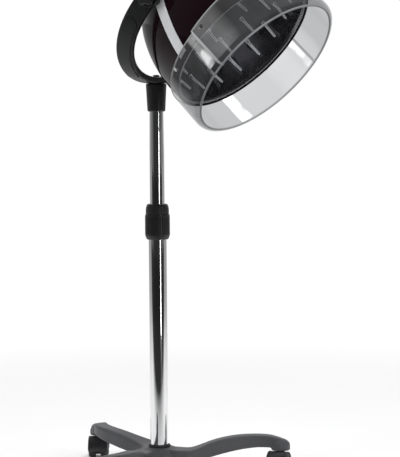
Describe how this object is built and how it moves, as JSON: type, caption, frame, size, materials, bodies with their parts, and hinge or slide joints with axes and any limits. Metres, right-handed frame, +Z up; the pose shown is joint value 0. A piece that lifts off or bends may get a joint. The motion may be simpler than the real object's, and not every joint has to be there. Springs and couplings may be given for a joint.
{
  "type": "hood hair dryer",
  "caption": "Salon hood dryer: dark glossy tilting hood with a clear two-part visor, in a forked yoke on a telescopic chrome pole with a castored star base.",
  "frame": {"origin": "centre of the base hub's flat underside, on the pole axis; the floor is 30 mm below it", "axes": "+Z up along the pole; the hood faces -Y; +X is the hood wearer's left-hand side when they face -Y"},
  "size_m": [0.5469, 0.7291, 1.2767],
  "materials": {
    "base_nylon": "moulded satin grey",
    "caster_nylon": "moulded satin black",
    "chrome": "polished plating",
    "steel": "plain machined",
    "black_plastic": "satin black",
    "yoke_grey": "satin grey",
    "hood_gloss": "polished near-black",
    "silver_band": "satin silver",
    "bowl_black": "polished black",
    "smoked_clear": "clear acrylic, faint grey",
    "winding_copper": "drawn wire",
    "mica": "pressed sheet",
    "rubber": "soft black"
  },
  "bodies": {
    "base": {"star_base": "base_nylon", "hub_ring": "rubber", "pole_foot_plug": "steel", "foot_bolt": "steel", "lower_tube": "chrome", "collar_body": "black_plastic", "pole_collet": "black_plastic"},
    "lock_ring": {"lock_ring": "black_plastic"},
    "lift": {"upper_tube": "chrome", "slide_bush": "black_plastic"},
    "yoke": {"yoke_socket": "black_plastic", "yoke_frame": "yoke_grey", "yoke_bolt": "steel", "yoke_cover_right": "yoke_grey", "yoke_cover_left": "yoke_grey"},
    "hood": {"hood_shell": "hood_gloss", "trim_band_right": "silver_band", "trim_band_left": "silver_band", "inner_bowl": "bowl_black", "visor_front": "smoked_clear", "visor_rear": "smoked_clear", "visor_stud_front_right": "steel", "visor_stud_front_left": "steel", "visor_stud_rear_right": "steel", "visor_stud_rear_left": "steel", "pivot_bolt_right": "steel", "pivot_bolt_left": "steel", "pivot_spacer_right": "black_plastic", "pivot_spacer_left": "black_plastic", "motor_bracket": "steel", "fan_motor": "steel", "heater_coil": "winding_copper", "heater_carrier": "mica", "thermostat": "steel", "terminal_block": "mica", "intake_cap": "hood_gloss", "control_panel": "black_plastic"},
    "fan": {"motor_shaft": "steel", "fan_impeller": "black_plastic"},
    "timer_knob": {"timer_knob": "silver_band"},
    "heat_knob": {"heat_knob": "silver_band"},
    "rocker": {"power_rocker": "black_plastic"},
    "tilt_knob_right": {"tilt_knob_right": "black_plastic"},
    "tilt_knob_left": {"tilt_knob_left": "black_plastic"},
    "caster_1": {"caster_body_1": "caster_nylon", "caster_axle_1": "steel"},
    "wheel_1a": {"caster_wheel_1a": "caster_nylon"},
    "wheel_1b": {"caster_wheel_1b": "caster_nylon"},
    "caster_2": {"caster_body_2": "caster_nylon", "caster_axle_2": "steel"},
    "wheel_2a": {"caster_wheel_2a": "caster_nylon"},
    "wheel_2b": {"caster_wheel_2b": "caster_nylon"},
    "caster_3": {"caster_body_3": "caster_nylon", "caster_axle_3": "steel"},
    "wheel_3a": {"caster_wheel_3a": "caster_nylon"},
    "wheel_3b": {"caster_wheel_3b": "caster_nylon"}
  },
  "joints": [
    {"name": "pole_slide", "type": "slide", "parent": "base", "child": "lift", "axis": [0, 0, 1], "range_m": [-0.18, 0.24]},
    {"name": "lock_ring_twist", "type": "hinge", "parent": "base", "child": "lock_ring", "pos_m": [0, 0, 0.6], "axis": [0, 0, 1], "range_deg": [0, 90]},
    {"name": "yoke_swivel", "type": "hinge", "parent": "lift", "child": "yoke", "pos_m": [0, 0, 0.86], "axis": [0, 0, 1], "range_deg": [-170, 170]},
    {"name": "hood_tilt", "type": "hinge", "parent": "yoke", "child": "hood", "pos_m": [0, -0.124, 1.094], "axis": [-1, 0, 0], "range_deg": [-10, 30]},
    {"name": "tilt_knob_right_turn", "type": "hinge", "parent": "yoke", "child": "tilt_knob_right", "pos_m": [-0.204, -0.124, 1.094], "axis": [-1, 0, 0], "range_deg": [-180, 180]},
    {"name": "tilt_knob_left_turn", "type": "hinge", "parent": "yoke", "child": "tilt_knob_left", "pos_m": [0.204, -0.124, 1.094], "axis": [1, 0, 0], "range_deg": [-180, 180]},
    {"name": "fan_spin", "type": "hinge", "parent": "hood", "child": "fan", "pos_m": [0, -0.124, 1.094], "axis": [0, 0.7431, 0.6691], "continuous": true},
    {"name": "timer_knob_turn", "type": "hinge", "parent": "hood", "child": "timer_knob", "pos_m": [0.04, -0.17715, 1.23281], "axis": [0, -0.0918, 0.9958], "range_deg": [0, 300]},
    {"name": "heat_knob_turn", "type": "hinge", "parent": "hood", "child": "heat_knob", "pos_m": [-0.04, -0.17715, 1.23281], "axis": [0, -0.0918, 0.9958], "range_deg": [0, 270]},
    {"name": "power_rocker_tip", "type": "hinge", "parent": "hood", "child": "rocker", "pos_m": [0, -0.17715, 1.23281], "axis": [1, 0, 0], "range_deg": [-9, 9]},
    {"name": "caster_1_swivel", "type": "hinge", "parent": "base", "child": "caster_1", "pos_m": [0.10928, 0.26646, 0.02], "axis": [0, 0, 1], "continuous": true},
    {"name": "wheel_1a_spin", "type": "hinge", "parent": "caster_1", "child": "wheel_1a", "pos_m": [0.09402, 0.25692, -0.0055], "axis": [-0.5299, 0.848, 0], "continuous": true},
    {"name": "wheel_1b_spin", "type": "hinge", "parent": "caster_1", "child": "wheel_1b", "pos_m": [0.09402, 0.25692, -0.0055], "axis": [-0.5299, 0.848, 0], "continuous": true},
    {"name": "caster_2_swivel", "type": "hinge", "parent": "base", "child": "caster_2", "pos_m": [0.17612, -0.22787, 0.02], "axis": [0, 0, 1], "continuous": true},
    {"name": "wheel_2a_spin", "type": "hinge", "parent": "caster_2", "child": "wheel_2a", "pos_m": [0.15882, -0.23283, -0.0055], "axis": [-0.2756, 0.9613, 0], "continuous": true},
    {"name": "wheel_2b_spin", "type": "hinge", "parent": "caster_2", "child": "wheel_2b", "pos_m": [0.15882, -0.23283, -0.0055], "axis": [-0.2756, 0.9613, 0], "continuous": true},
    {"name": "caster_3_swivel", "type": "hinge", "parent": "base", "child": "caster_3", "pos_m": [-0.2854, -0.03859, 0.02], "axis": [0, 0, 1], "continuous": true},
    {"name": "wheel_3a_spin", "type": "hinge", "parent": "caster_3", "child": "wheel_3a", "pos_m": [-0.29978, -0.02775, -0.0055], "axis": [0.6018, 0.7986, 0], "continuous": true},
    {"name": "wheel_3b_spin", "type": "hinge", "parent": "caster_3", "child": "wheel_3b", "pos_m": [-0.29978, -0.02775, -0.0055], "axis": [0.6018, 0.7986, 0], "continuous": true}
  ]
}
